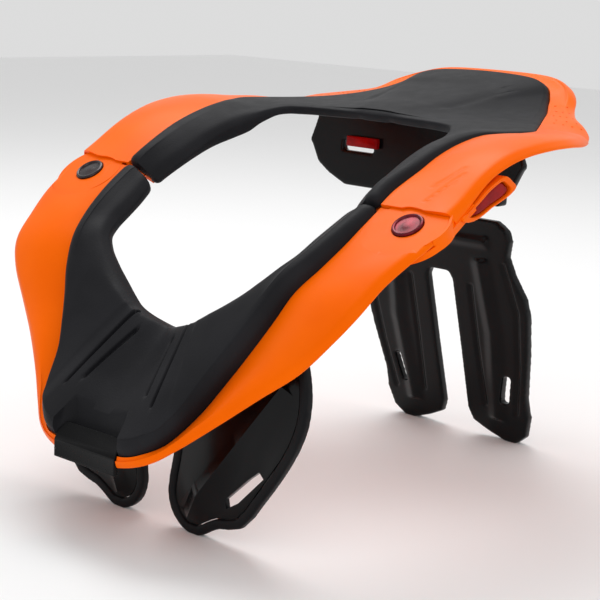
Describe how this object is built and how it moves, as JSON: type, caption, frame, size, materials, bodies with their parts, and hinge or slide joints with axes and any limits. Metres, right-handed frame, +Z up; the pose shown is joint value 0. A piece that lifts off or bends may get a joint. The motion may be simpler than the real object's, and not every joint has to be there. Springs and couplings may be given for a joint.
{
  "type": "motocross neck brace",
  "caption": "Hard-shell motocross neck brace: a hinged collar with foam pads on top, chest paddles in front and a two-legged strut behind.",
  "frame": {"origin": "middle of the overall box, on the surface that the brace stands on", "axes": "+Z up, +X towards the wearer's left, +Y towards the wearer's back, so the nose of the collar points to -Y"},
  "size_m": [0.2652, 0.3228, 0.2177],
  "materials": {
    "orange_shell": "satin moulded orange plastic",
    "charcoal_foam": "matt moulded charcoal foam with a smooth skin",
    "soft_edge": "soft black edge moulding",
    "black_plastic": "gloss black plastic",
    "black_button": "dark anodised",
    "red_button": "red anodised",
    "red_plastic": "gloss red plastic"
  },
  "bodies": {
    "rear": {"rear_shell": "orange_shell", "rear_pad": "charcoal_foam", "hinge_pin_right": "black_button", "back_strut": "black_plastic", "wing_plate": "black_plastic", "adjuster_left": "red_plastic", "adjuster_right": "red_plastic"},
    "front": {"front_shell": "orange_shell", "front_pad": "charcoal_foam", "nose_clip": "black_plastic", "latch_button_left": "red_button", "chest_paddle_left": "black_plastic", "chest_paddle_right": "black_plastic", "paddle_rim_left": "soft_edge", "paddle_rim_right": "soft_edge"},
    "lever": {"release_lever": "orange_shell", "lever_catch": "red_plastic"}
  },
  "joints": [
    {"name": "collar_hinge", "type": "hinge", "parent": "rear", "child": "front", "pos_m": [-0.11, -0.0665, 0.16], "axis": [0, 0.5563, -0.831], "range_deg": [0, 35]},
    {"name": "release_lever_pivot", "type": "hinge", "parent": "rear", "child": "lever", "pos_m": [0.1312, -0.0529, 0.162], "axis": [0, 0.5563, -0.831], "range_deg": [0, 20]}
  ]
}
